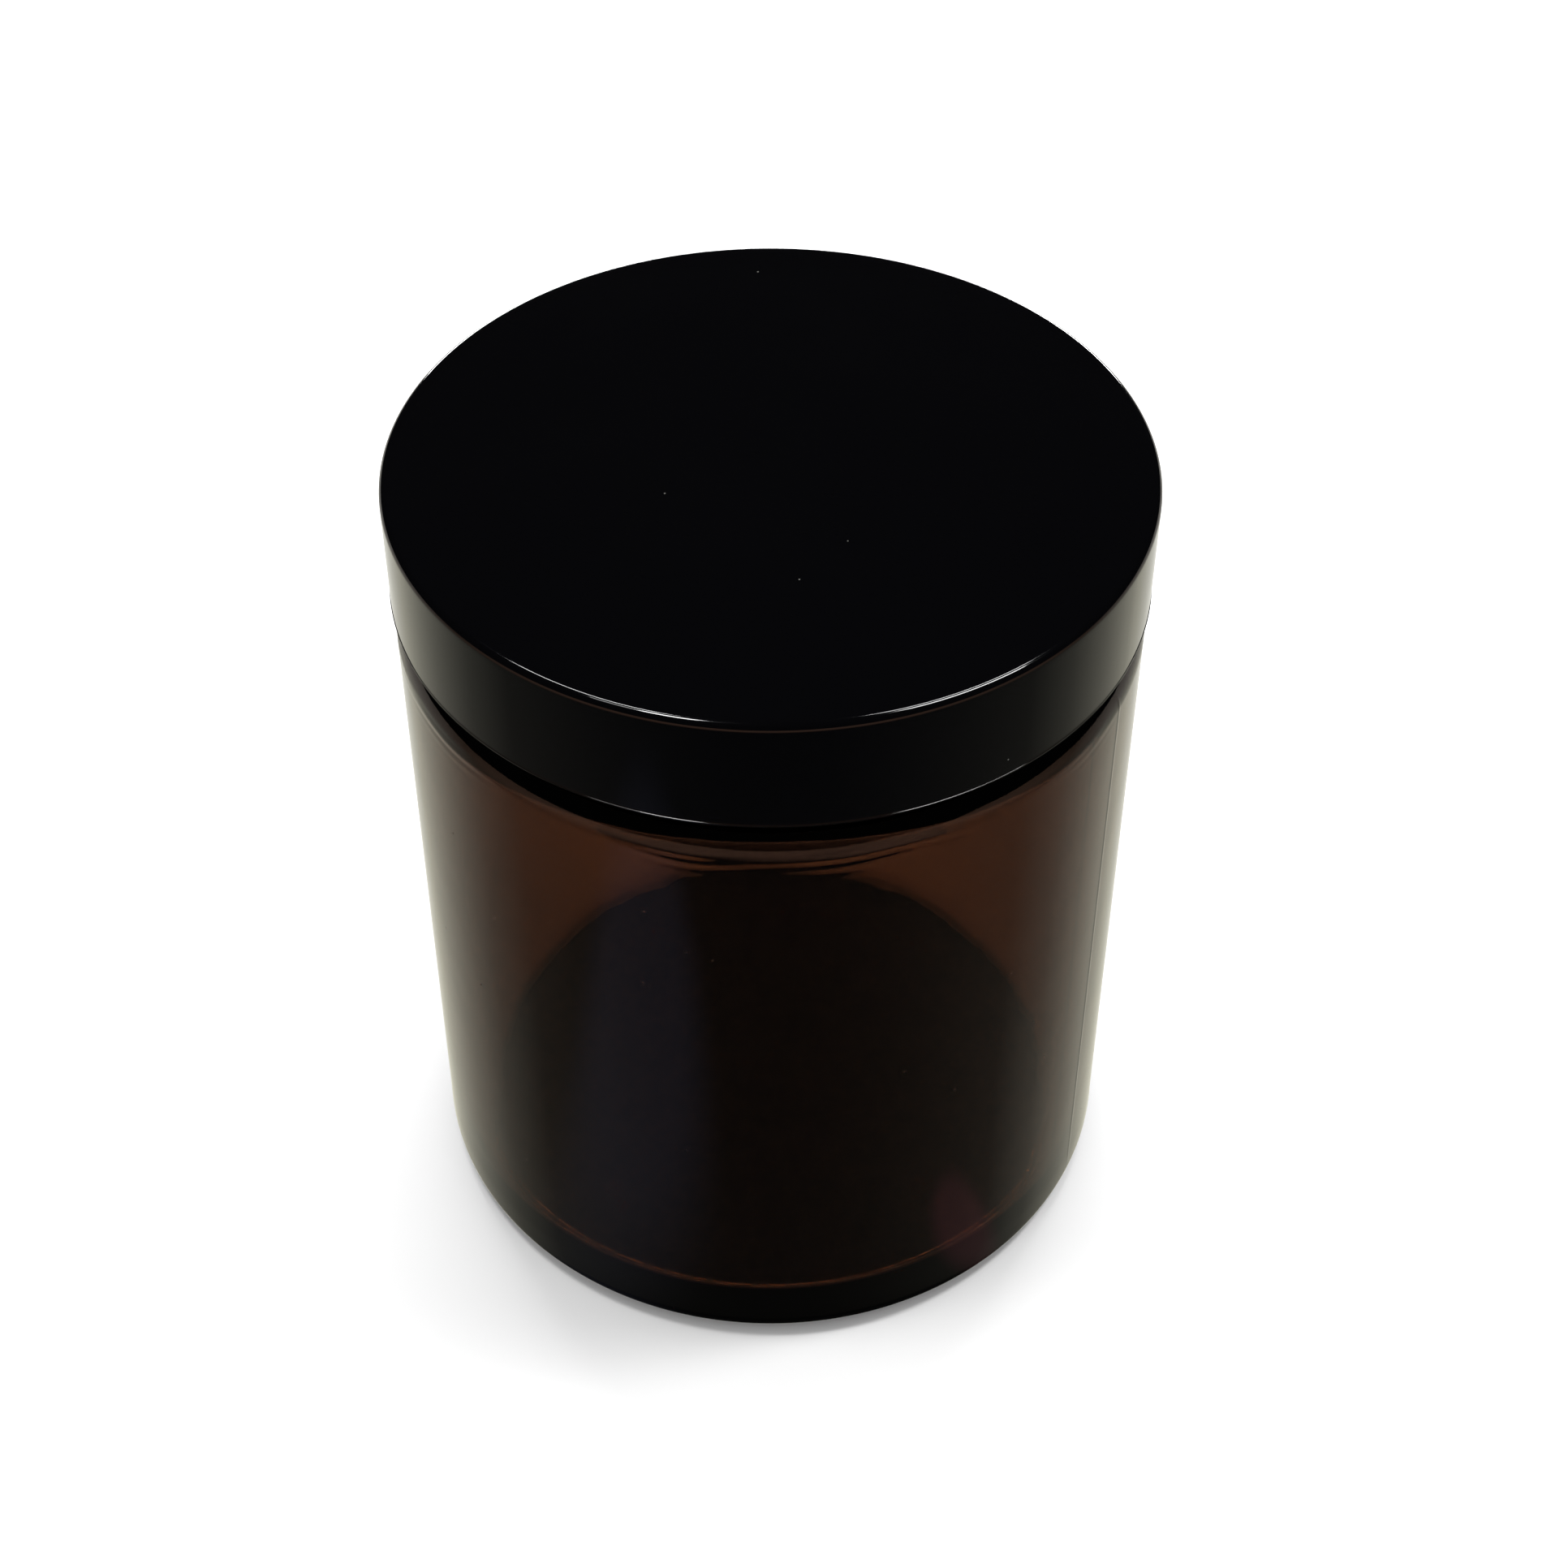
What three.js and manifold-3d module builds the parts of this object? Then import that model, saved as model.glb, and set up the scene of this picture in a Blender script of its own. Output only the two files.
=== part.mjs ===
// A cosmetic cream jar: a straight-sided glass jar with a 70 mm screw finish, a smooth straight-sided
// cap, and the foam liner inside the cap that seals against the jar's rim.
//
// Units are millimetres. +Z is up, the jar's axis is Z, and the origin is the centre of its resting face.
import * as THREE from "three";
import { mergeVertices } from "three/addons/utils/BufferGeometryUtils.js";
import Module from "manifold-3d";

// ---------------------------------------------------------------- driving dimensions

// Glass jar
const JAR_DIAMETER = 72.2;
const JAR_HEIGHT = 84.4; // resting face to the top of the rim
const NECK_HEIGHT = 10.3; // foot of the neck to the top of the rim
const SIDE_WALL = 4.0;
const BASE_THICKNESS = 3.0; // at the middle of the floor, above the push-up
const HEEL_RADIUS = 3.0; // outside corner between wall and resting face
const FLOOR_RADIUS = 2.0; // inside corner between wall and floor
const SHOULDER_WIDTH = 2.6; // from the jar's wall in to its neck
const SHOULDER_RADIUS = 3.3; // the round over the outside of the shoulder
const SHOULDER_DEPTH = 3.5; // height over which the inside narrows to the mouth
const NECK_WALL = 3.2;
const NECK_FILLET = 0.5; // where the shoulder turns up into the neck
const RIM_RADIUS = 0.8; // both edges of the rim
const BEARING_WIDTH = 5.0; // the ring that the jar rests on
const PUSH_UP = 1.2; // how far the middle of the base is raised clear of the table

// Screw thread, one start, right-hand
const THREAD_PITCH = 25.4 / 6; // six threads to the inch
const THREAD_DEPTH = 1.2;
const THREAD_CLEARANCE = 0.4; // each crest to the root that it faces
const THREAD_PLAY = 0.3; // along the axis, between the flanks that pull the cap down
const JAR_RIDGE = { root: 0.57, crest: 0.28 }; // widths of the ridge on the neck, in pitches
const CAP_RIDGE = { root: 0.52, crest: 0.24 }; // widths of the ridge in the cap, in pitches
const NECK_LEAD_IN = 0.8; // the cap's lower edge to the lower edge of the jar's ridge
const CAP_LEAD_IN = 0.1; // the cap's lower chamfer to the lower edge of its own ridge
const RIM_MARGIN = 1.6; // plain height between the jar's ridge and the rim
const LINER_MARGIN = 0.5; // plain height between the cap's ridge and the liner
const THREAD_FADE = 0.08; // turns over which a ridge grows from nothing at each end
const RIDGE_SINK = 0.6; // how deep a ridge is rooted in its wall

// Cap
const CAP_GAP = 0.9; // from the foot of the neck up to the cap's lower edge
const CAP_SKIRT = 1.2;
const CAP_TOP = 1.6;
const CAP_EDGE_RADIUS = 0.75; // the rounded edge round the flat top
const CAP_LIP_RADIUS = 0.3; // the outside of the lower edge
const CAP_LEAD_CHAMFER = 0.5; // the inside of the lower edge
const CAP_CORNER_RADIUS = 0.4; // inside corner between skirt and top

// Foam liner
const LINER_THICKNESS = 0.9;
const LINER_CLEARANCE = 0.1; // its edge to where the cap's inside corner begins
const LINER_REST_GAP = 0.05; // each of its faces to the rim and to the cap

// How finely round surfaces are divided
const SEGMENTS = 48; // round the axis
const ARC_STEPS = 2; // half of the steps along a rounded corner
const CURVE_STEPS = 5; // along a free curve
const WELD = 1e-3; // vertices nearer than this are one vertex

// ---------------------------------------------------------------- sizes that follow

const jarRadius = JAR_DIAMETER / 2;
const bodyBore = jarRadius - SIDE_WALL;
const neckRadius = jarRadius - SHOULDER_WIDTH;
const mouthRadius = neckRadius - NECK_WALL;
const neckFoot = JAR_HEIGHT - NECK_HEIGHT;

const jarThreadCrest = neckRadius + THREAD_DEPTH;
const capBore = jarThreadCrest + THREAD_CLEARANCE;
const capThreadCrest = neckRadius + THREAD_CLEARANCE;
const capRadius = capBore + CAP_SKIRT;

const linerBottom = JAR_HEIGHT + LINER_REST_GAP;
const linerTop = linerBottom + LINER_THICKNESS;
const linerRadius = capBore - CAP_CORNER_RADIUS - LINER_CLEARANCE;
const capInside = linerTop + LINER_REST_GAP;
const capCrown = capInside + CAP_TOP;
const capBottom = neckFoot + CAP_GAP;

const inPitches = ({ root, crest }) => ({ root: root * THREAD_PITCH, crest: crest * THREAD_PITCH });
const jarRidge = inPitches(JAR_RIDGE);
const capRidge = inPitches(CAP_RIDGE);

// Where the middle of each ridge starts and ends.
const threadStart = capBottom + NECK_LEAD_IN + jarRidge.root / 2;
const threadEnd = JAR_HEIGHT - RIM_MARGIN - jarRidge.root / 2;
const capThreadStart = capBottom + CAP_LEAD_CHAMFER + CAP_LEAD_IN + capRidge.root / 2;
const capThreadEnd = linerBottom - LINER_MARGIN - capRidge.root / 2;

// How far the cap's ridge runs below the jar's. Half of each ridge's width is taken midway up its flank.
const halfWidth = ({ root, crest }) => (root + crest) / 4;
const capThreadDrop = halfWidth(jarRidge) + halfWidth(capRidge) + THREAD_PLAY;

// ---------------------------------------------------------------- solids

const wasm = await Module();
wasm.setup();

/** A closed geometry as a solid, with its faces pointing out whichever way they were wound. */
function solidOf(geometry) {
  const bare = new THREE.BufferGeometry();
  bare.setAttribute("position", geometry.getAttribute("position"));
  bare.setIndex(geometry.index);
  const merged = mergeVertices(bare, WELD);
  const vertProperties = new Float32Array(merged.getAttribute("position").array);
  const triVerts = new Uint32Array(merged.index.array);
  const made = new wasm.Manifold(new wasm.Mesh({ numProp: 3, vertProperties, triVerts }));
  if (made.volume() > 0) return made;
  return new wasm.Manifold(
    new wasm.Mesh({ numProp: 3, vertProperties, triVerts: triVerts.slice().reverse() }),
  );
}

/** A solid as a geometry with flat-shaded faces. */
function geometryOf(solid) {
  const { vertProperties, triVerts } = solid.getMesh();
  const geometry = new THREE.BufferGeometry();
  geometry.setAttribute("position", new THREE.BufferAttribute(vertProperties, 3));
  geometry.setIndex(new THREE.BufferAttribute(triVerts, 1));
  const faceted = geometry.toNonIndexed();
  faceted.computeVertexNormals();
  return faceted;
}

/** A profile in the plane of radius and height, turned about the jar's axis. */
function turned(profile) {
  const points = profile.getPoints(ARC_STEPS);
  return solidOf(new THREE.LatheGeometry(points, SEGMENTS).rotateX(Math.PI / 2));
}

/** Adds a free curve from the profile's last point, as steps fine enough for a large radius. */
function bend(profile, controlA, controlB, end) {
  const start = profile.currentPoint.clone();
  const curve = new THREE.CubicBezierCurve(start, controlA, controlB, end);
  for (const point of curve.getPoints(CURVE_STEPS).slice(1)) profile.lineTo(point.x, point.y);
}

/**
 * A screw ridge. Its trapezium section is extruded straight, and each vertex is then wound round the
 * axis: distance along the ridge becomes angle and height, and the section fades out at both ends.
 * `outward` is 1 for a ridge on the outside of a neck and -1 for one on the inside of a cap.
 */
function screwRidge({ rootRadius, outward, widths, helixAtZero, fromHeight, toHeight }) {
  const half = { root: widths.root / 2, crest: widths.crest / 2 };
  const section = new THREE.Shape();
  section.moveTo(-half.root, -RIDGE_SINK);
  section.lineTo(half.root, -RIDGE_SINK);
  section.lineTo(half.root, 0);
  section.lineTo(half.crest, THREAD_DEPTH);
  section.lineTo(-half.crest, THREAD_DEPTH);
  section.lineTo(-half.root, 0);
  section.closePath();

  const firstTurn = (fromHeight - helixAtZero) / THREAD_PITCH;
  const turns = (toHeight - fromHeight) / THREAD_PITCH;
  const steps = Math.ceil(turns * SEGMENTS);
  const ridge = new THREE.ExtrudeGeometry(section, { depth: turns, steps, bevelEnabled: false });

  const place = ridge.getAttribute("position");
  for (let i = 0; i < place.count; i++) {
    const along = place.getZ(i);
    const fade = THREE.MathUtils.smoothstep(Math.min(along, turns - along), 0, THREAD_FADE);
    const depth = place.getY(i);
    const radius = rootRadius + outward * (depth > 0 ? depth * fade - (1 - fade) * WELD : depth);
    const angle = 2 * Math.PI * (firstTurn + along);
    const height = fromHeight + THREAD_PITCH * along + place.getX(i);
    place.setXYZ(i, radius * Math.cos(angle), radius * Math.sin(angle), height);
  }
  return solidOf(ridge);
}

// ---------------------------------------------------------------- pieces

/** The glass, from the push-up under its base, up the outside, over the rim and down the inside. */
function jarBody() {
  const up = new THREE.Path();
  const bearingInside = jarRadius - HEEL_RADIUS - BEARING_WIDTH;
  up.moveTo(0, PUSH_UP);
  bend(
    up,
    new THREE.Vector2(bearingInside * 0.55, PUSH_UP),
    new THREE.Vector2(bearingInside * 0.85, PUSH_UP * 0.3),
    new THREE.Vector2(bearingInside, 0),
  );
  up.lineTo(jarRadius - HEEL_RADIUS, 0);
  up.absarc(jarRadius - HEEL_RADIUS, HEEL_RADIUS, HEEL_RADIUS, -Math.PI / 2, 0, false);

  // The shoulder's round runs straight into the fillet at the neck's foot. On a wider shoulder there is
  // a level ledge between them.
  const inset = Math.max(0, SHOULDER_RADIUS + NECK_FILLET - SHOULDER_WIDTH);
  const rise = Math.sqrt((SHOULDER_RADIUS + NECK_FILLET) ** 2 - inset ** 2);
  const shoulderEnd = Math.atan2(rise, inset);
  const wallTop = neckFoot - rise;
  up.lineTo(jarRadius, wallTop);
  up.absarc(jarRadius - SHOULDER_RADIUS, wallTop, SHOULDER_RADIUS, 0, shoulderEnd, false);
  up.absarc(
    neckRadius + NECK_FILLET,
    neckFoot,
    NECK_FILLET,
    shoulderEnd - Math.PI,
    -Math.PI,
    true,
  );

  const rimCentre = JAR_HEIGHT - RIM_RADIUS;
  up.lineTo(neckRadius, rimCentre);
  up.absarc(neckRadius - RIM_RADIUS, rimCentre, RIM_RADIUS, 0, Math.PI / 2, false);
  up.lineTo(mouthRadius + RIM_RADIUS, JAR_HEIGHT);
  up.absarc(mouthRadius + RIM_RADIUS, rimCentre, RIM_RADIUS, Math.PI / 2, Math.PI, false);

  up.lineTo(mouthRadius, neckFoot);
  bend(
    up,
    new THREE.Vector2(mouthRadius, neckFoot - SHOULDER_DEPTH / 2),
    new THREE.Vector2(bodyBore, neckFoot - SHOULDER_DEPTH / 2),
    new THREE.Vector2(bodyBore, neckFoot - SHOULDER_DEPTH),
  );
  const floor = PUSH_UP + BASE_THICKNESS;
  up.lineTo(bodyBore, floor + FLOOR_RADIUS);
  up.absarc(bodyBore - FLOOR_RADIUS, floor + FLOOR_RADIUS, FLOOR_RADIUS, 0, -Math.PI / 2, true);
  up.lineTo(0, floor);

  const ridge = screwRidge({
    rootRadius: neckRadius,
    outward: 1,
    widths: jarRidge,
    helixAtZero: threadStart,
    fromHeight: threadStart,
    toHeight: threadEnd,
  });
  return turned(up).add(ridge);
}

/** The cap: a flat top with a rounded edge, a plain skirt, and one ridge that engages the jar's. */
function capShell() {
  const out = new THREE.Path();
  out.moveTo(0, capInside);
  out.lineTo(capBore - CAP_CORNER_RADIUS, capInside);
  out.absarc(
    capBore - CAP_CORNER_RADIUS,
    capInside - CAP_CORNER_RADIUS,
    CAP_CORNER_RADIUS,
    Math.PI / 2,
    0,
    true,
  );
  out.lineTo(capBore, capBottom + CAP_LEAD_CHAMFER);
  out.lineTo(capBore + CAP_LEAD_CHAMFER, capBottom);
  out.lineTo(capRadius - CAP_LIP_RADIUS, capBottom);
  out.absarc(
    capRadius - CAP_LIP_RADIUS,
    capBottom + CAP_LIP_RADIUS,
    CAP_LIP_RADIUS,
    -Math.PI / 2,
    0,
    false,
  );
  const edgeCentre = capCrown - CAP_EDGE_RADIUS;
  out.lineTo(capRadius, edgeCentre);
  out.absarc(capRadius - CAP_EDGE_RADIUS, edgeCentre, CAP_EDGE_RADIUS, 0, Math.PI / 2, false);
  out.lineTo(0, capCrown);

  const ridge = screwRidge({
    rootRadius: capBore,
    outward: -1,
    widths: capRidge,
    helixAtZero: threadStart - capThreadDrop,
    fromHeight: capThreadStart,
    toHeight: capThreadEnd,
  });
  return turned(out).add(ridge);
}

/** The foam disc that lies in the cap and is pressed onto the rim. */
function capLiner() {
  const disc = new THREE.Path();
  disc.moveTo(0, linerBottom);
  disc.lineTo(linerRadius, linerBottom);
  disc.lineTo(linerRadius, linerTop);
  disc.lineTo(0, linerTop);
  return turned(disc);
}

// ---------------------------------------------------------------- assembly

const amberGlass = new THREE.MeshStandardMaterial({
  color: 0x2b130a,
  roughness: 0.06,
  metalness: 0,
  transparent: true,
  opacity: 0.72,
});
const glossBlack = new THREE.MeshStandardMaterial({ color: 0x060606, roughness: 0.16, metalness: 0 });
const whiteFoam = new THREE.MeshStandardMaterial({ color: 0xe9e7e0, roughness: 0.85, metalness: 0 });

function piece(name, solid, material) {
  const mesh = new THREE.Mesh(geometryOf(solid), material);
  mesh.name = name;
  return mesh;
}

const creamJar = new THREE.Group();
const closure = new THREE.Group();
closure.add(piece("cap_shell", capShell(), glossBlack));
closure.add(piece("cap_liner", capLiner(), whiteFoam));
creamJar.add(piece("jar_body", jarBody(), amberGlass), closure);

export default creamJar;
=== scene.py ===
from math import acos, cos, degrees, pi, radians, sin

import bpy
import numpy as np
from mathutils import Matrix, Vector


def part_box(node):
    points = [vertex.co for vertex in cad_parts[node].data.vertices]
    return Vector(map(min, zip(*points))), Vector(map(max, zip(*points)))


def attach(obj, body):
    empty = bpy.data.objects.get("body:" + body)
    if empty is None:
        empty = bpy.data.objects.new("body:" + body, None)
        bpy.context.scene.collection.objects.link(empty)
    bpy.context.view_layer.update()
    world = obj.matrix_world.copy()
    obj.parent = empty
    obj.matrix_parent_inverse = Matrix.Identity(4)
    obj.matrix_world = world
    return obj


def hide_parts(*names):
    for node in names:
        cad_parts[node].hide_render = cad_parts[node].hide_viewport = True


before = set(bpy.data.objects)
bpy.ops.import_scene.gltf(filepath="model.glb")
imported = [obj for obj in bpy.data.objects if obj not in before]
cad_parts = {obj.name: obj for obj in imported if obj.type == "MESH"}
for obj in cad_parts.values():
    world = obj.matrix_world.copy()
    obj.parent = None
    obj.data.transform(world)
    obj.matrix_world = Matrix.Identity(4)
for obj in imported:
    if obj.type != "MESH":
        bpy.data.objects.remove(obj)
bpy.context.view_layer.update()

MM = 0.001
HAIR = 0.01  # millimetres; a point this near to a surface counts as on it

# ---------------------------------------------------------------- sizes

def box_of(node_name):
    """A CAD node's lowest and highest corners, in millimetres."""
    return [[float(value) / MM for value in corner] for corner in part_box(node_name)]


jar_high = box_of("jar_body")[1]
cap_low, cap_high = box_of("cap_shell")
liner_low, liner_high = box_of("cap_liner")

# Glass jar
JAR_RADIUS = jar_high[0]
RIM_TOP = jar_high[2]
NECK_HEIGHT = 10.3
NECK_WALL = 3.2
SHOULDER_WIDTH = 2.6
SIDE_WALL = 4.0
BASE_THICKNESS = 3.0
NECK_FOOT = RIM_TOP - NECK_HEIGHT
NECK_RADIUS = JAR_RADIUS - SHOULDER_WIDTH
MOUTH_RADIUS = NECK_RADIUS - NECK_WALL
BORE_RADIUS = JAR_RADIUS - SIDE_WALL
RIM_RADIUS = 0.8
HEEL_RADIUS = 3.0
BEARING_WIDTH = 5.0
PUSH_UP = 1.2
FLOOR = PUSH_UP + BASE_THICKNESS
FLOOR_RADIUS = 2.0

# The shoulder's round ends where it meets the fillet at the neck's foot.
SHOULDER_RADIUS = 3.3
SHOULDER_DEPTH = 3.5
NECK_FILLET = 0.5
BORE_TOP = NECK_FOOT - SHOULDER_DEPTH
SHOULDER_END = acos(1 - SHOULDER_WIDTH / (SHOULDER_RADIUS + NECK_FILLET))
WALL_TOP = NECK_FOOT - (SHOULDER_RADIUS + NECK_FILLET) * sin(SHOULDER_END)

# Cap and liner
CAP_RADIUS = cap_high[0]
CAP_TOP = cap_high[2]
CAP_BOTTOM = cap_low[2]
CAP_SKIRT = 1.2
CAP_BORE = CAP_RADIUS - CAP_SKIRT
CAP_EDGE = 0.75
CAP_CORNER = 0.4
CAP_LIP = 0.3
CAP_CHAMFER = 0.5
CAP_LEDGE = 0.05  # a witness line round the foot of the skirt, where the mould's stripper ring ends
LINER_GAP = 0.05
LINER_BEVEL = 0.12

# Screw ridges: one start, right-hand, six threads to the inch
PITCH = 25.4 / 6
RIDGE_DEPTH = 1.2
RIDGE_FADE = 0.08  # turns
JAR_RIDGE = {"root": 0.57 * PITCH, "crest": 0.28 * PITCH}
CAP_RIDGE = {"root": 0.52 * PITCH, "crest": 0.24 * PITCH}
NECK_LEAD_IN = 0.8
RIM_MARGIN = 1.6
CAP_LEAD_IN = 0.1
LINER_MARGIN = 0.5
THREAD_PLAY = 0.3
JAR_RIDGE["low"] = CAP_BOTTOM + NECK_LEAD_IN + JAR_RIDGE["root"] / 2
JAR_RIDGE["high"] = RIM_TOP - RIM_MARGIN - JAR_RIDGE["root"] / 2
JAR_RIDGE["helix"] = JAR_RIDGE["low"]
CAP_RIDGE["low"] = CAP_BOTTOM + CAP_CHAMFER + CAP_LEAD_IN + CAP_RIDGE["root"] / 2
CAP_RIDGE["high"] = liner_low[2] - LINER_MARGIN - CAP_RIDGE["root"] / 2
# The cap's ridge runs below the jar's, by half of each one's width halfway up its flank and a play.
RIDGE_WIDTHS = JAR_RIDGE["root"] + JAR_RIDGE["crest"] + CAP_RIDGE["root"] + CAP_RIDGE["crest"]
CAP_RIDGE["helix"] = JAR_RIDGE["low"] - RIDGE_WIDTHS / 4 - THREAD_PLAY

# The mould's parting line runs down the glass, with a second one opposite.
SEAM_ANGLE = radians(-26)
SEAM_WIDTH = 0.2
SEAM_HEIGHT = 0.025

# Angles of the points round a turned piece: even steps, and finer ones across the two seams
EVEN_STEPS = 256
EVEN_ANGLES = np.arange(EVEN_STEPS) * 2 * pi / EVEN_STEPS
SEAM_STEPS = np.arange(-4, 5) * SEAM_WIDTH / 2 / JAR_RADIUS
ANGLES = np.concatenate([EVEN_ANGLES, SEAM_STEPS + SEAM_ANGLE, SEAM_STEPS + SEAM_ANGLE + pi])
ANGLES = np.sort(ANGLES % (2 * pi))
AROUND = len(ANGLES)


# ---------------------------------------------------------------- profiles and surfaces

def line(start, end, count):
    """Points on a straight line from start to end."""
    share = np.linspace(0, 1, count)[:, None]
    return np.array(start) * (1 - share) + np.array(end) * share


def arc(centre, radius, start, end, count):
    """Points on a circle round centre, from one angle to another in degrees, 0 along the radius axis."""
    turn = np.radians(np.linspace(start, end, count))
    return np.stack([centre[0] + radius * np.cos(turn), centre[1] + radius * np.sin(turn)], 1)


def bezier(*controls, count=15):
    """A cubic Bezier curve: each control weighted by its Bernstein polynomial."""
    share = np.linspace(0, 1, count)[:, None]
    rest = 1 - share
    a, b, c, d = (np.array(point, float) for point in controls)
    return rest**3 * a + 3 * rest**2 * share * b + 3 * rest * share**2 * c + share**3 * d


def profile(*stretches):
    """The stretches end to end, without the points that two of them share."""
    points = np.concatenate(stretches)
    step = np.linalg.norm(np.diff(points, axis=0), axis=1)
    return points[np.concatenate([[True], step > 1e-6])]


def turned(name, outline, shape):
    """
    A profile (radius, height) in millimetres turned about Z. shape(angle, radius, height) returns
    a new radius and height for each point of the grid. Where the profile starts and ends on the axis,
    the whole ring is one point, so the surface is closed.
    """
    radius = np.repeat(outline[1:-1, 0:1], AROUND, axis=1)
    height = np.repeat(outline[1:-1, 1:2], AROUND, axis=1)
    radius, height = shape(ANGLES[None, :], radius, height)
    rings = np.stack([radius * np.cos(ANGLES), radius * np.sin(ANGLES), height], axis=2).reshape(-1, 3)
    poles = [[0, 0, outline[0, 1]], [0, 0, outline[-1, 1]]]
    vertices = np.concatenate([rings, poles]) * MM

    rows = len(outline) - 2
    here = np.arange(AROUND)
    beyond = np.roll(here, -1)
    base = np.arange(rows - 1)[:, None] * AROUND
    quads = np.stack([base + here, base + beyond, base + AROUND + beyond, base + AROUND + here], 2)
    top = (rows - 1) * AROUND
    first = np.stack([np.full(AROUND, rows * AROUND), beyond, here], 1)
    last = np.stack([np.full(AROUND, rows * AROUND + 1), top + here, top + beyond], 1)
    faces = quads.reshape(-1, 4).tolist() + first.tolist() + last.tolist()

    mesh = bpy.data.meshes.new(name)
    mesh.from_pydata(vertices.tolist(), [], faces)
    mesh.polygons.foreach_set("use_smooth", np.ones(len(faces), bool))
    mesh.update()
    piece = bpy.data.objects.new(name, mesh)
    bpy.context.collection.objects.link(piece)
    return piece


def smooth_step(value):
    """0 below 0, 1 above 1, and an S-curve between them."""
    value = np.clip(value, 0, 1)
    return value * value * (3 - 2 * value)


def ridge_height(angle, height, ridge):
    """
    How far a screw ridge stands out of its wall. Along the ridge, t turns from its start, its middle is
    at low + pitch * t. Across it the ridge is a trapezium with eased corners, and it fades out at
    both ends.
    """
    turns = (ridge["high"] - ridge["low"]) / PITCH
    first = (ridge["low"] - ridge["helix"]) / PITCH
    flank = (ridge["root"] - ridge["crest"]) / 2
    raised = np.zeros_like(height)
    for lap in range(int(turns) + 1):
        along = (angle / (2 * pi) - first) % 1 + lap
        away = np.abs(height - ridge["low"] - PITCH * along)
        across = smooth_step((ridge["root"] / 2 - away) / flank)
        fade = smooth_step(np.minimum(along, turns - along) / RIDGE_FADE)
        raised = np.maximum(raised, RIDGE_DEPTH * across * fade)
    return raised


# ---------------------------------------------------------------- glass jar

SKIN_WAVE = 0.012
RIPPLE_HEIGHT = 0.02
RIPPLE_MIDDLE = WALL_TOP + 0.4
RIPPLE_REACH = 1.4
RIPPLE_FOOT = WALL_TOP - 5
BORE_WAVE = 0.05
# The unevenness fades in over these heights.
HEEL_FADE = 3.0
SHOULDER_FADE = 1.5
BORE_FADE = 8.0


def turn_from(angle, place):
    """The angle from place, the short way round."""
    return (angle - place + pi) % (2 * pi) - pi


def wall_waves(angle, height):
    """Slow unevenness of blown glass: three long waves round the jar, drifting with height."""
    waves = np.zeros_like(angle + height)
    for count, drift, phase, size in ((3, 0.05, 0.4, 0.5), (5, -0.09, 2.1, 0.3), (9, 0.13, 4.0, 0.2)):
        waves += size * np.sin(count * angle + drift * height + phase)
    return waves


def shoulder_ripples(angle, height):
    """
    Chill wrinkles where the hot glass first met the mould: short level waves in a band round the foot
    of the shoulder, strong in patches and gone between them.
    """
    band = np.exp(-((RIPPLE_MIDDLE - height) / RIPPLE_REACH) ** 2)
    patches = smooth_step(0.5 + 0.9 * np.sin(7 * angle + 0.8) * np.sin(3 * angle + 2.0))
    return band * patches * np.sin(5.2 * height + 2.5 * np.sin(6 * angle) + 0.9 * np.sin(17 * angle))


def shape_glass(angle, radius, height):
    """Adds the screw ridge, the seams, the wrinkles and the uneven inner wall to the plain profile."""
    on_neck = (height > NECK_FOOT + HAIR) & (radius > NECK_RADIUS - HAIR)
    ridge = np.where(on_neck, ridge_height(angle, height, JAR_RIDGE), 0)

    outside = (radius > NECK_RADIUS + NECK_FILLET) & (height < NECK_FOOT)
    from_heel = smooth_step((height - HEEL_RADIUS) / HEEL_FADE)
    from_neck = smooth_step((NECK_FOOT - SHOULDER_FADE - height) / SHOULDER_FADE)
    seam_places = (SEAM_ANGLE, SEAM_ANGLE + pi)
    seam = sum(np.exp(-(turn_from(angle, place) * JAR_RADIUS / SEAM_WIDTH) ** 2) for place in seam_places)
    skin = SEAM_HEIGHT * seam - SKIN_WAVE * (1 + wall_waves(angle, height))
    skin = skin + RIPPLE_HEIGHT * (shoulder_ripples(angle, height) - 1)

    skin = np.where(outside, skin * (from_heel * from_neck), 0)

    inside = (radius < BORE_RADIUS + HAIR) & (height > FLOOR + FLOOR_RADIUS) & (height < BORE_TOP)
    lower = smooth_step((height - FLOOR - FLOOR_RADIUS) / BORE_FADE)
    upper = smooth_step((BORE_TOP - height) / BORE_FADE)
    bore = BORE_WAVE * wall_waves(angle + 1.0, height) * lower * upper
    return radius + ridge + skin + np.where(inside, bore, 0), height


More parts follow.
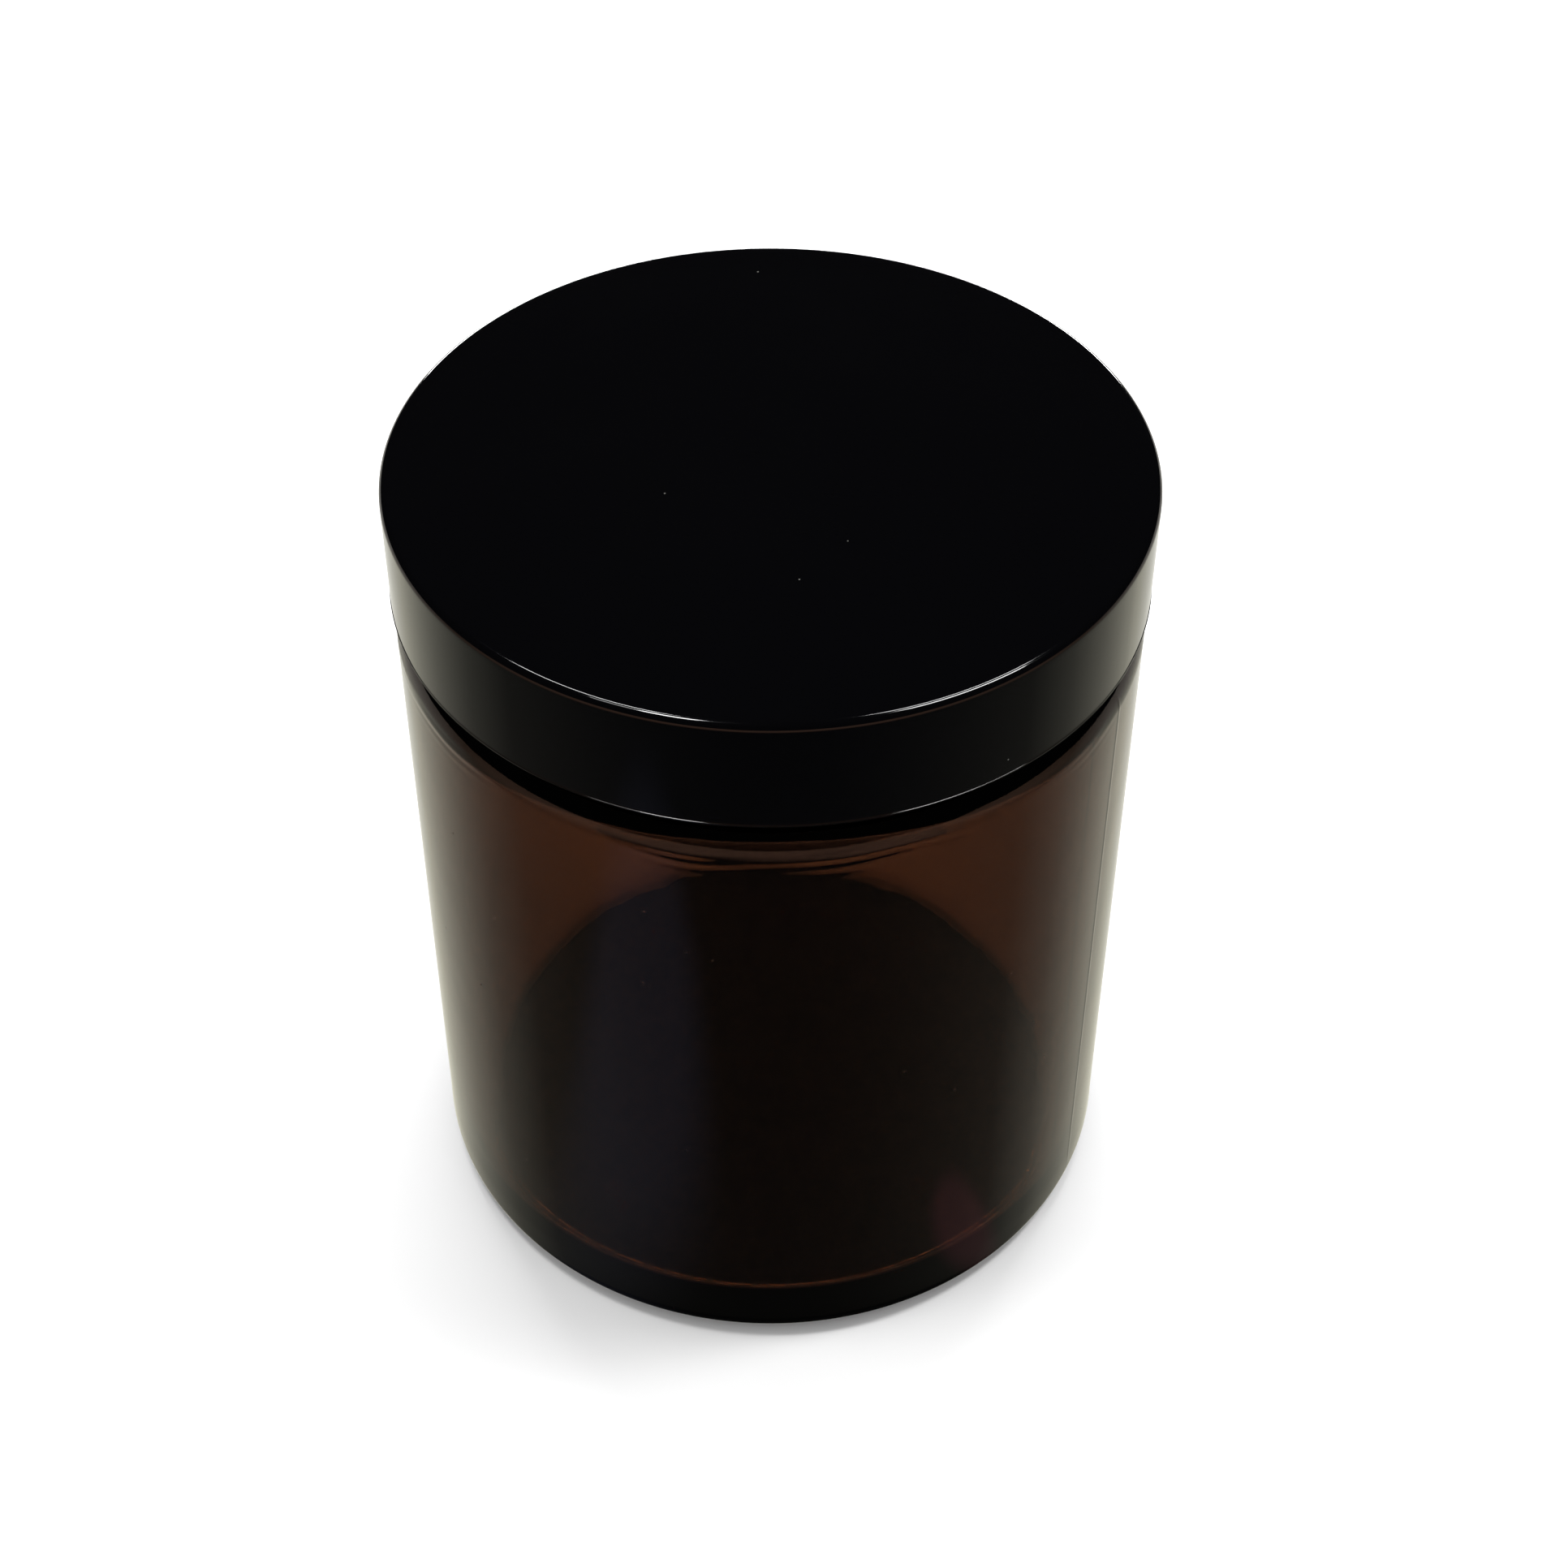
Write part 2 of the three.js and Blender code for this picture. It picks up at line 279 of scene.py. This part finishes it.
def glass_outline():
    """The glass in section, from the push-up, up the outside, over the rim and down to the floor."""
    bearing = JAR_RADIUS - HEEL_RADIUS - BEARING_WIDTH
    rim = RIM_TOP - RIM_RADIUS
    round_end = degrees(SHOULDER_END)
    return profile(
        bezier((0, PUSH_UP), (bearing * 0.55, PUSH_UP), (bearing * 0.85, PUSH_UP * 0.3), (bearing, 0)),
        line((bearing, 0), (JAR_RADIUS - HEEL_RADIUS, 0), 5),
        arc((JAR_RADIUS - HEEL_RADIUS, HEEL_RADIUS), HEEL_RADIUS, -90, 0, 13),
        line((JAR_RADIUS, HEEL_RADIUS), (JAR_RADIUS, RIPPLE_FOOT), 24),
        line((JAR_RADIUS, RIPPLE_FOOT), (JAR_RADIUS, WALL_TOP), 50),
        arc((JAR_RADIUS - SHOULDER_RADIUS, WALL_TOP), SHOULDER_RADIUS, 0, round_end, 33),
        arc((NECK_RADIUS + NECK_FILLET, NECK_FOOT), NECK_FILLET, round_end - 180, -180, 5),
        line((NECK_RADIUS, NECK_FOOT), (NECK_RADIUS, rim), 60),
        arc((NECK_RADIUS - RIM_RADIUS, rim), RIM_RADIUS, 0, 90, 7),
        arc((MOUTH_RADIUS + RIM_RADIUS, rim), RIM_RADIUS, 90, 180, 7),
        line((MOUTH_RADIUS, rim), (MOUTH_RADIUS, NECK_FOOT), 3),
        bezier((MOUTH_RADIUS, NECK_FOOT), (MOUTH_RADIUS, NECK_FOOT - SHOULDER_DEPTH / 2),
               (BORE_RADIUS, NECK_FOOT - SHOULDER_DEPTH / 2), (BORE_RADIUS, BORE_TOP), count=25),
        line((BORE_RADIUS, BORE_TOP), (BORE_RADIUS, FLOOR + FLOOR_RADIUS), 24),
        arc((BORE_RADIUS - FLOOR_RADIUS, FLOOR + FLOOR_RADIUS), FLOOR_RADIUS, 0, -90, 13),
        line((BORE_RADIUS - FLOOR_RADIUS, FLOOR), (0, FLOOR), 6),
    )


def make_jar():
    """The glass jar."""
    jar = turned("amber_jar", glass_outline(), shape_glass)
    jar.data.materials.append(amber_glass())
    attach(jar, "jar")
    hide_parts("jar_body")


# ---------------------------------------------------------------- cap and liner

LIP_WAVER = 0.02
RIM_DENT = 0.16
RIM_DENT_REACH = 1.1


def shape_cap(angle, radius, height):
    """Adds the inner screw ridge, and the faint unevenness of the trimmed lower lip."""
    in_bore = np.abs(radius - CAP_BORE) < HAIR
    ridge = np.where(in_bore, ridge_height(angle, height, CAP_RIDGE), 0)
    lip = (height < CAP_BOTTOM + CAP_LIP) & (radius > CAP_RADIUS - CAP_LIP - HAIR)
    waver = LIP_WAVER * (1 + np.sin(11 * angle) * np.sin(4 * angle + 1.0))
    return radius - ridge, height + np.where(lip, waver, 0)


def cap_outline():
    """The cap in section, from the middle of its inside, down the bore, up the skirt and over the top."""
    inside = liner_high[2] + LINER_GAP
    edge = CAP_TOP - CAP_EDGE
    ledge = CAP_BOTTOM + CAP_LIP + CAP_LEDGE
    skirt = CAP_RADIUS - CAP_LEDGE
    return profile(
        line((0, inside), (CAP_BORE - CAP_CORNER, inside), 6),
        arc((CAP_BORE - CAP_CORNER, inside - CAP_CORNER), CAP_CORNER, 90, 0, 5),
        line((CAP_BORE, inside - CAP_CORNER), (CAP_BORE, CAP_BOTTOM + CAP_CHAMFER), 64),
        line((CAP_BORE, CAP_BOTTOM + CAP_CHAMFER), (CAP_BORE + CAP_CHAMFER, CAP_BOTTOM), 3),
        arc((CAP_RADIUS - CAP_LIP, CAP_BOTTOM + CAP_LIP), CAP_LIP, -90, 0, 7),
        bezier((CAP_RADIUS, ledge), (CAP_RADIUS, ledge + 0.3 * CAP_LEDGE), (skirt, ledge + 0.3 * CAP_LEDGE),
               (skirt, ledge + 0.6 * CAP_LEDGE), count=9),
        line((skirt, ledge + 3 * CAP_LEDGE), (skirt, edge), 20),
        arc((skirt - CAP_EDGE, edge), CAP_EDGE, 0, 90, 17),
        line((skirt - CAP_EDGE, CAP_TOP), (0, CAP_TOP), 30),
    )


def make_cap():
    """The cap, one moulding."""
    cap = turned("black_cap", cap_outline(), shape_cap)
    cap.data.materials.append(black_polypropylene())
    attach(cap, "cap")
    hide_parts("cap_shell")


def shape_liner(angle, radius, height):
    """Presses the ring of the rim into the foam's lower face."""
    middle = (NECK_RADIUS + MOUTH_RADIUS) / 2
    dent = RIM_DENT * np.exp(-((radius - middle) / RIM_DENT_REACH) ** 4)
    low = height < liner_low[2] + HAIR
    return radius, height + np.where(low, dent, 0)


def liner_outline():
    """The liner in section: flat faces and eased corners."""
    edge = liner_high[0] - LINER_BEVEL
    low, high = liner_low[2], liner_high[2]
    return profile(
        line((0, low), (edge, low), 60),
        arc((edge, low + LINER_BEVEL), LINER_BEVEL, -90, 0, 5),
        arc((edge, high - LINER_BEVEL), LINER_BEVEL, 0, 90, 5),
        line((edge, high), (0, high), 8),
    )


def make_liner():
    """The foam liner."""
    liner = turned("foam_liner", liner_outline(), shape_liner)
    liner.data.materials.append(white_foam())
    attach(liner, "liner")
    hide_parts("cap_liner")


# ---------------------------------------------------------------- materials

def colour(code):
    """An sRGB hex colour as linear RGBA."""
    channels = [int(code[i:i + 2], 16) / 255 for i in (1, 3, 5)]
    return [c / 12.92 if c <= 0.04045 else ((c + 0.055) / 1.055) ** 2.4 for c in channels] + [1.0]


def node(tree, kind, settings, links=None):
    """
    Adds a node. A setting named for a socket, or numbered, goes to that socket, and any other to the
    node. Links give the output that feeds each socket.
    """
    made = tree.nodes.new(kind)
    for name, value in settings.items():
        if isinstance(name, int) or name in made.inputs:
            made.inputs[name].default_value = value
        else:
            setattr(made, name, value)
    for name, output in (links or {}).items():
        tree.links.new(output, made.inputs[name])
    return made


def material(name):
    """A new material without nodes, and its node tree."""
    made = bpy.data.materials.new(name)
    made.use_nodes = True
    made.node_tree.nodes.clear()
    return made, made.node_tree


def dust(tree, place, size, share):
    """
    Flecks of dust, one in some of the cells of a 4.5 mm pattern: 1 on a fleck and 0 off it. size is a
    fleck's radius in cells, and share the part of the cells that stay clean.
    """
    cells = node(tree, "ShaderNodeTexVoronoi", {"Scale": 220.0}, place)
    spot = node(tree, "ShaderNodeMath", {"operation": "LESS_THAN", 1: size}, {0: cells.outputs["Distance"]})
    pick = node(tree, "ShaderNodeSeparateColor", {}, {"Color": cells.outputs["Color"]})
    some = node(tree, "ShaderNodeMath", {"operation": "GREATER_THAN", 1: share}, {0: pick.outputs["Red"]})
    fleck = node(tree, "ShaderNodeMath", {"operation": "MULTIPLY"},
                 {0: spot.outputs["Value"], 1: some.outputs["Value"]})
    return fleck.outputs["Value"]


def amber_glass():
    """
    Soda-lime glass coloured amber with iron and sulphur, blown in a mould and fire-polished: a bright,
    slightly wavy skin, and a brown that deepens to black where the glass is thick.
    """
    made, tree = material("Amber soda-lime glass, blown and fire-polished")
    place = {"Vector": node(tree, "ShaderNodeTexCoord", {}).outputs["Object"]}
    # Handling leaves faint greasy clouds about 12 mm across.
    clouds = node(tree, "ShaderNodeTexNoise", {"Scale": 80.0, "Detail": 3.0, "Roughness": 0.55}, place)
    smear = node(tree, "ShaderNodeMapRange",
                 {"From Min": 0.45, "From Max": 0.75, "To Min": 0.015, "To Max": 0.05},
                 {"Value": clouds.outputs["Fac"]})
    # Fire-polished glass keeps a soft swell about 6 mm long.
    swell = node(tree, "ShaderNodeTexNoise", {"Scale": 160.0, "Detail": 1.0}, place)
    bump = node(tree, "ShaderNodeBump", {"Strength": 0.06, "Distance": 0.0004},
                {"Height": swell.outputs["Fac"]})
    # A fleck of dust is dull where the glass is bright.
    fleck = dust(tree, place, 0.024, 0.3)
    dull = node(tree, "ShaderNodeMath", {"operation": "MULTIPLY_ADD", 1: 0.7},
                {0: fleck, 2: smear.outputs["Result"]})
    glass = node(tree, "ShaderNodeBsdfPrincipled",
                 {"Base Color": colour("#ecd2b2"), "IOR": 1.52, "Transmission Weight": 1.0},
                 {"Roughness": dull.outputs["Value"], "Normal": bump.outputs["Normal"]})
    depth = node(tree, "ShaderNodeVolumeAbsorption", {"Color": colour("#8a5a34"), "Density": 455.0})
    node(tree, "ShaderNodeOutputMaterial", {},
         {"Surface": glass.outputs["BSDF"], "Volume": depth.outputs["Volume"]})
    return made


def black_polypropylene():
    """
    Polypropylene, moulded against polished steel: a deep gloss black with a very slight orange peel,
    a little rubbed by handling, and the odd fleck of dust.
    """
    made, tree = material("Black polypropylene, gloss moulded")
    place = {"Vector": node(tree, "ShaderNodeTexCoord", {}).outputs["Object"]}
    fleck = dust(tree, place, 0.02, 0.5)
    tint = node(tree, "ShaderNodeMix",
                {"data_type": "RGBA", 6: colour("#030304"), 7: colour("#5a5a56")}, {0: fleck})
    # The moulding's skin: orange peel about 1.5 mm across.
    peel = node(tree, "ShaderNodeTexNoise", {"Scale": 650.0, "Detail": 2.0}, place)
    bump = node(tree, "ShaderNodeBump", {"Strength": 0.03, "Distance": 0.0001},
                {"Height": peel.outputs["Fac"]})
    # Handling rubs the gloss in soft patches about 18 mm across.
    rub = node(tree, "ShaderNodeTexNoise", {"Scale": 55.0, "Detail": 4.0, "Roughness": 0.6}, place)
    gloss = node(tree, "ShaderNodeMapRange",
                 {"From Min": 0.35, "From Max": 0.7, "To Min": 0.05, "To Max": 0.075},
                 {"Value": rub.outputs["Fac"]})
    plastic = node(tree, "ShaderNodeBsdfPrincipled", {"IOR": 1.49},
                   {"Base Color": tint.outputs[2], "Roughness": gloss.outputs["Result"],
                    "Normal": bump.outputs["Normal"]})
    node(tree, "ShaderNodeOutputMaterial", {}, {"Surface": plastic.outputs["BSDF"]})
    return made


def white_foam():
    """Polyethylene foam between two thin skins: matt off-white with fine closed cells."""
    made, tree = material("Polyethylene foam, skinned")
    place = {"Vector": node(tree, "ShaderNodeTexCoord", {}).outputs["Object"]}
    # Cells about 0.5 mm across.
    cells = node(tree, "ShaderNodeTexVoronoi", {"Scale": 2000.0}, place)
    bump = node(tree, "ShaderNodeBump", {"Strength": 0.25, "Distance": 0.0001},
                {"Height": cells.outputs["Distance"]})
    shade = node(tree, "ShaderNodeMix",
                 {"data_type": "RGBA", 6: colour("#f1efe8"), 7: colour("#dddacf")},
                 {0: cells.outputs["Distance"]})
    foam = node(tree, "ShaderNodeBsdfPrincipled", {"IOR": 1.5, "Roughness": 0.6},
                {"Base Color": shade.outputs[2], "Normal": bump.outputs["Normal"]})
    node(tree, "ShaderNodeOutputMaterial", {}, {"Surface": foam.outputs["BSDF"]})
    return made


# ---------------------------------------------------------------- studio

# Just under the jar's foot
FLOOR_LEVEL = -0.0002
SHADE_DISC_LEVEL = -0.0001


def studio_sheet(name, corners, finish):
    """A flat sheet of the studio: its corners in metres, in order, and its material."""
    mesh = bpy.data.meshes.new(name)
    mesh.from_pydata(corners, [], [list(range(len(corners)))])
    mesh.materials.append(finish)
    sheet = bpy.data.objects.new(name, mesh)
    bpy.context.collection.objects.link(sheet)
    return sheet


def matt(name, code):
    """A plain matt material."""
    made, tree = material(name)
    paint = node(tree, "ShaderNodeBsdfPrincipled", {"Base Color": colour(code), "Roughness": 0.9})
    node(tree, "ShaderNodeOutputMaterial", {}, {"Surface": paint.outputs["BSDF"]})
    return made


def make_floor():
    """A plain pale table top. The gloss surfaces mirror the world in its place."""
    half = 3.0
    corners = [(x * half, y * half, FLOOR_LEVEL) for x, y in ((-1, -1), (1, -1), (1, 1), (-1, 1))]
    table = studio_sheet("table_top", corners, matt("White matt laminate", "#f2f2f2"))
    table.visible_glossy = False


def make_painted_shade_disc():
    """A black disc under the jar, painted shade for the jar's shadow on the table: it hides the white table
    from the glass base.
    """
    sides = 96
    turn = np.arange(sides) * 2 * pi / sides
    radius = (JAR_RADIUS - HEEL_RADIUS) * MM
    corners = np.stack([radius * np.cos(turn), radius * np.sin(turn), np.full(sides, SHADE_DISC_LEVEL)], 1)
    studio_sheet("painted_shade_disc", corners.tolist(), matt("Painted shade disc", "#0c0c0c"))


def strip_light(name, start, end, width, power, height=0.9):
    """
    A softbox that faces the cap, between two points. height is in metres above the cap's top, and the
    points are places from the jar's axis, as shares of that height. width is in metres and power in watts.
    """
    target = Vector((0, 0, CAP_TOP * MM))
    ends = [target + Vector((x, y, 1)) * height for x, y in (start, end)]
    middle = (ends[0] + ends[1]) / 2
    light = bpy.data.lights.new(name, "AREA")
    light.shape = "RECTANGLE"
    light.size = (ends[1] - ends[0]).length
    light.size_y = width
    light.energy = power
    lamp = bpy.data.objects.new(name, light)
    bpy.context.collection.objects.link(lamp)
    back = (middle - target).normalized()
    along = (ends[1] - ends[0]).normalized()
    side = back.cross(along).normalized()
    along = side.cross(back)
    lamp.matrix_world = Matrix.Translation(middle) @ Matrix((along, side, back)).transposed().to_4x4()


def painted_table_reflection(name, place, reach, turn, light):
    """
    A painted reflection: a soft oval of tinted glow just above the table, which lights nothing. place is its
    middle and reach half its length and width, in millimetres, turn is in degrees, and light is its linear
    colour. Only mirror images of the table show it.
    """
    long_way = Vector((cos(radians(turn)), sin(radians(turn)), 0)) * reach[0]
    wide_way = Vector((-sin(radians(turn)), cos(radians(turn)), 0)) * reach[1]
    above_table = 0.5
    middle = Vector((*place, above_table))
    corners = [(middle + x * long_way + y * wide_way) * MM for x, y in ((-1, -1), (1, -1), (1, 1), (-1, 1))]
    made, tree = material(name)
    where = node(tree, "ShaderNodeTexCoord", {}).outputs["Object"]
    oval = node(tree, "ShaderNodeMapping",
                {"vector_type": "TEXTURE", "Location": middle * MM,
                 "Rotation": (0, 0, radians(turn)), "Scale": (reach[0] * MM, reach[1] * MM, 1)},
                {"Vector": where})
    ball = node(tree, "ShaderNodeTexGradient", {"gradient_type": "SPHERICAL"},
                {"Vector": oval.outputs["Vector"]})
    soft = node(tree, "ShaderNodeMapRange", {"interpolation_type": "SMOOTHSTEP", "From Max": 0.55},
                {"Value": ball.outputs["Fac"]})
    glow = node(tree, "ShaderNodeEmission", {"Color": (*light, 1)}, {"Strength": soft.outputs["Result"]})
    clear = node(tree, "ShaderNodeBsdfTransparent", {})
    both = node(tree, "ShaderNodeAddShader", {}, {0: glow.outputs["Emission"], 1: clear.outputs["BSDF"]})
    node(tree, "ShaderNodeOutputMaterial", {}, {"Surface": both.outputs["Shader"]})
    patch = studio_sheet(name, corners, made)
    for ray in ("camera", "diffuse", "transmission", "volume_scatter", "shadow"):
        setattr(patch, "visible_" + ray, False)


def make_world():
    """
    The room round the table, as the gloss surfaces mirror it. It is dim above, so the flat top of the cap
    stays black. Below the horizon it is what the upright walls mirror: dark in front and bright behind.
    The far part of the table, near the horizon, is warm.
    """
    world = bpy.data.worlds.new("Studio")
    bpy.context.scene.world = world
    world.use_nodes = True
    tree = world.node_tree
    tree.nodes.clear()
    way = node(tree, "ShaderNodeTexCoord", {}).outputs["Generated"]
    part = node(tree, "ShaderNodeSeparateXYZ", {}, {"Vector": way})
    back = node(tree, "ShaderNodeMapRange", {"From Min": -0.75, "From Max": 0.75},
                {"Value": part.outputs["Y"]})
    near_table = node(tree, "ShaderNodeValToRGB", {}, {"Fac": back.outputs["Result"]})
    near_table.color_ramp.elements[0].color = (0.012, 0.012, 0.013, 1)
    near_table.color_ramp.elements[1].color = (0.95, 0.94, 0.86, 1)
    for place, level in ((0.45, 0.08), (0.6, 0.22), (0.74, 0.46), (0.9, 0.8)):
        near_table.color_ramp.elements.new(place).color = (level, level * 0.97, level * 0.8, 1)
    far_table = node(tree, "ShaderNodeValToRGB", {}, {"Fac": back.outputs["Result"]})
    far_table.color_ramp.elements[0].color = (0.5, 0.28, 0.19, 1)
    far_table.color_ramp.elements[1].color = (0.85, 0.82, 0.76, 1)
    far_table.color_ramp.elements.new(0.5).color = (0.26, 0.17, 0.12, 1)
    far = node(tree, "ShaderNodeMapRange", {"From Min": -0.6, "From Max": -0.3},
               {"Value": part.outputs["Z"]})
    table = node(tree, "ShaderNodeMix", {"data_type": "RGBA"},
                 {0: far.outputs["Result"], 6: near_table.outputs["Color"], 7: far_table.outputs["Color"]})
    # Straight down is the table's own shadow at the jar's foot.
    steep = node(tree, "ShaderNodeMapRange", {"From Min": -0.8, "From Max": -0.9},
                 {"Value": part.outputs["Z"]})
    table = node(tree, "ShaderNodeMix", {"data_type": "RGBA", 7: (0.01, 0.01, 0.01, 1)},
                 {0: steep.outputs["Result"], 6: table.outputs[2]})
    lower = node(tree, "ShaderNodeMath", {"operation": "LESS_THAN", 1: 0.0}, {0: part.outputs["Z"]})
    room = node(tree, "ShaderNodeMix", {"data_type": "RGBA", 6: (0.008, 0.008, 0.008, 1)},
                {0: lower.outputs["Value"], 7: table.outputs[2]})
    # The table itself is lit evenly, as by a white tent that no gloss surface mirrors.
    sight = node(tree, "ShaderNodeLightPath", {})
    tent = node(tree, "ShaderNodeMix", {"data_type": "RGBA", 7: (0.8, 0.8, 0.8, 1)},
                {0: sight.outputs["Is Diffuse Ray"], 6: room.outputs[2]})
    seen = node(tree, "ShaderNodeMix", {"data_type": "RGBA", 7: (0.95, 0.95, 0.95, 1)},
                {0: sight.outputs["Is Camera Ray"], 6: tent.outputs[2]})
    glow = node(tree, "ShaderNodeBackground", {}, {"Color": seen.outputs[2]})
    node(tree, "ShaderNodeOutputWorld", {}, {"Surface": glow.outputs["Background"]})


def make_camera():
    """A long lens looking 44 degrees down, with the jar a little above the middle of the frame."""
    pitch, roll = radians(43.91), radians(0.23)
    ahead = Vector((0, cos(pitch), -sin(pitch)))
    level = Vector((1, 0, 0))
    upward = level.cross(ahead)
    # Its place is measured from the middle of the cap's top, in cap radii.
    across, below, away = 0.037, 0.823, 7.177
    unit = CAP_RADIUS * MM
    place = Vector((0, 0, CAP_TOP * MM)) + unit * (across * level - below * upward - away * ahead)
    right = cos(roll) * level + sin(roll) * upward
    top = cos(roll) * upward - sin(roll) * level
    lens = bpy.data.cameras.new("camera")
    lens.sensor_width = 36.0
    lens.lens = 64.5
    lens.clip_start = 0.01
    camera = bpy.data.objects.new("camera", lens)
    bpy.context.collection.objects.link(camera)
    camera.matrix_world = Matrix.Translation(place) @ Matrix((right, top, -ahead)).transposed().to_4x4()
    bpy.context.scene.camera = camera


bpy.context.scene.view_settings.view_transform = "Standard"
make_camera()
make_world()
make_floor()
make_painted_shade_disc()
# Painted reflections in the glass: a blue glow to the front left and a pink one to the front right, seen
# only in mirror images.
painted_table_reflection("painted_blue_reflection", (-41, -66), reach=(50, 26), turn=58, light=(0.05, 0.055, 0.09))
painted_table_reflection("painted_pink_reflection", (28, -33), reach=(9, 6), turn=-50, light=(0.1, 0.025, 0.035))
strip_light("left_front_strip", (-0.31, -0.049), (-0.17, -0.109), width=0.16, power=2.3)
strip_light("left_front_fill", (-0.44, 0.007), (-0.32, -0.044), width=0.16, power=0.35)
strip_light("right_front_strip", (0.32, -0.056), (0.63, 0.16), width=0.16, power=4.3)
strip_light("back_softbox", (-2.4, 5.4), (2.4, 5.4), width=0.1, power=9.0, height=0.17)
strip_light("left_back_strip", (-0.37, 0.537), (-0.16, 0.33), width=0.08, power=1.6)
strip_light("right_back_strip", (0.16, 0.33), (0.37, 0.537), width=0.08, power=1.6)
make_jar()
make_cap()
make_liner()
